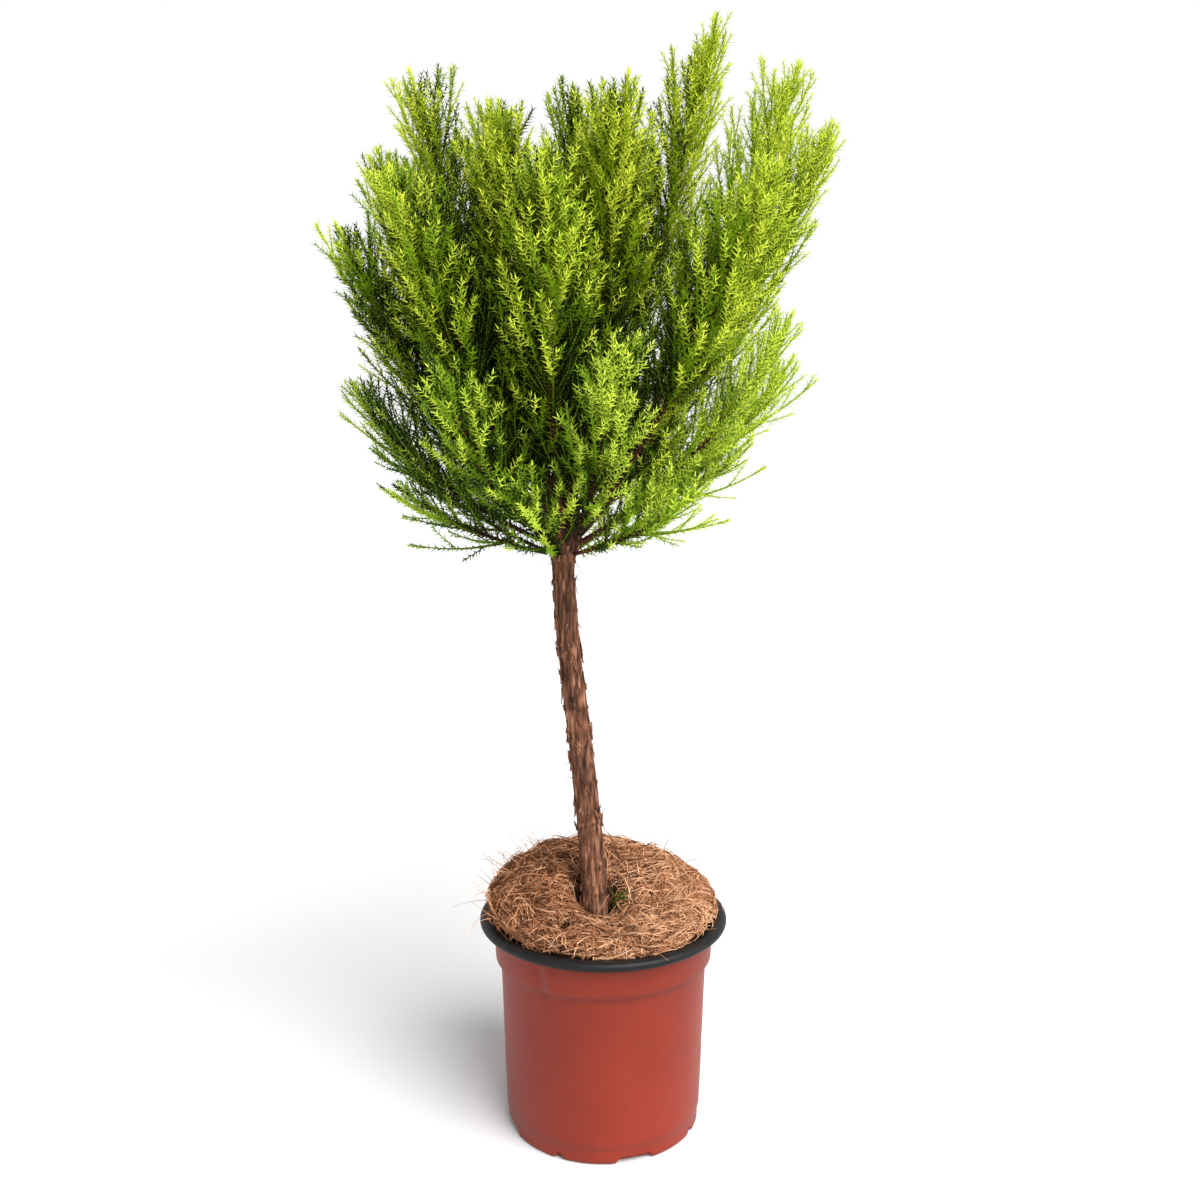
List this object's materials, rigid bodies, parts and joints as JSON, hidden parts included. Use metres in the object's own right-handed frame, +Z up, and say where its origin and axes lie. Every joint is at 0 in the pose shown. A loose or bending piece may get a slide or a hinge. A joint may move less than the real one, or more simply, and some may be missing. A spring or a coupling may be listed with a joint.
{
  "type": "standard conifer topiary in a pot",
  "caption": "Bare-stemmed standard conifer with a wide crown of upright feathery plumes, in a round nursery pot with a dark rolled rim and a coir mulch mat.",
  "frame": {"origin": "centre of the pot's flat underside, on the ground", "axes": "+Z up the pot's axis, +X to the right seen from the front, -Y towards the front (the side the picture shows)"},
  "size_m": [0.2943, 0.253, 0.6549],
  "materials": {
    "terracotta_plastic": "thin satin nursery-pot plastic",
    "black_plastic": "satin",
    "potting_mix": "moist crumbly mix",
    "coir": "matted dry fibre",
    "bark": "fibrous peeling bark",
    "bough_bark": "smooth young bark",
    "foliage_crest": "fine awl-shaped needles, lime green",
    "foliage_side": "fine awl-shaped needles, yellow green",
    "foliage_low": "fine awl-shaped needles, mid green"
  },
  "bodies": {
    "root": {"pot": "terracotta_plastic", "pot_rim": "black_plastic", "potting_mix": "potting_mix", "coir_mat": "coir", "trunk": "bark", "bough_leader": "bough_bark", "foliage_leader": "foliage_crest", "bough_inner_1": "bough_bark", "foliage_inner_1": "foliage_crest", "bough_inner_2": "bough_bark", "foliage_inner_2": "foliage_crest", "bough_inner_3": "bough_bark", "foliage_inner_3": "foliage_crest", "bough_inner_4": "bough_bark", "foliage_inner_4": "foliage_crest", "bough_inner_5": "bough_bark", "foliage_inner_5": "foliage_crest", "bough_inner_6": "bough_bark", "foliage_inner_6": "foliage_crest", "bough_upper_1": "bough_bark", "foliage_upper_1": "foliage_side", "bough_upper_2": "bough_bark", "foliage_upper_2": "foliage_side", "bough_upper_3": "bough_bark", "foliage_upper_3": "foliage_side", "bough_upper_4": "bough_bark", "foliage_upper_4": "foliage_side", "bough_upper_5": "bough_bark", "foliage_upper_5": "foliage_side", "bough_upper_6": "bough_bark", "foliage_upper_6": "foliage_side", "bough_upper_7": "bough_bark", "foliage_upper_7": "foliage_side", "bough_upper_8": "bough_bark", "foliage_upper_8": "foliage_side", "bough_upper_9": "bough_bark", "foliage_upper_9": "foliage_side", "foliage_lower_1": "foliage_low", "foliage_lower_2": "foliage_low", "foliage_lower_3": "foliage_low", "foliage_lower_4": "foliage_low", "foliage_lower_5": "foliage_low", "foliage_lower_6": "foliage_low", "foliage_lower_7": "foliage_low", "foliage_lower_8": "foliage_low", "foliage_skirt_1": "foliage_low", "foliage_skirt_2": "foliage_low", "foliage_skirt_3": "foliage_low", "foliage_skirt_4": "foliage_low", "foliage_skirt_5": "foliage_low", "foliage_skirt_6": "foliage_low", "foliage_skirt_7": "foliage_low"}
  },
  "joints": []
}
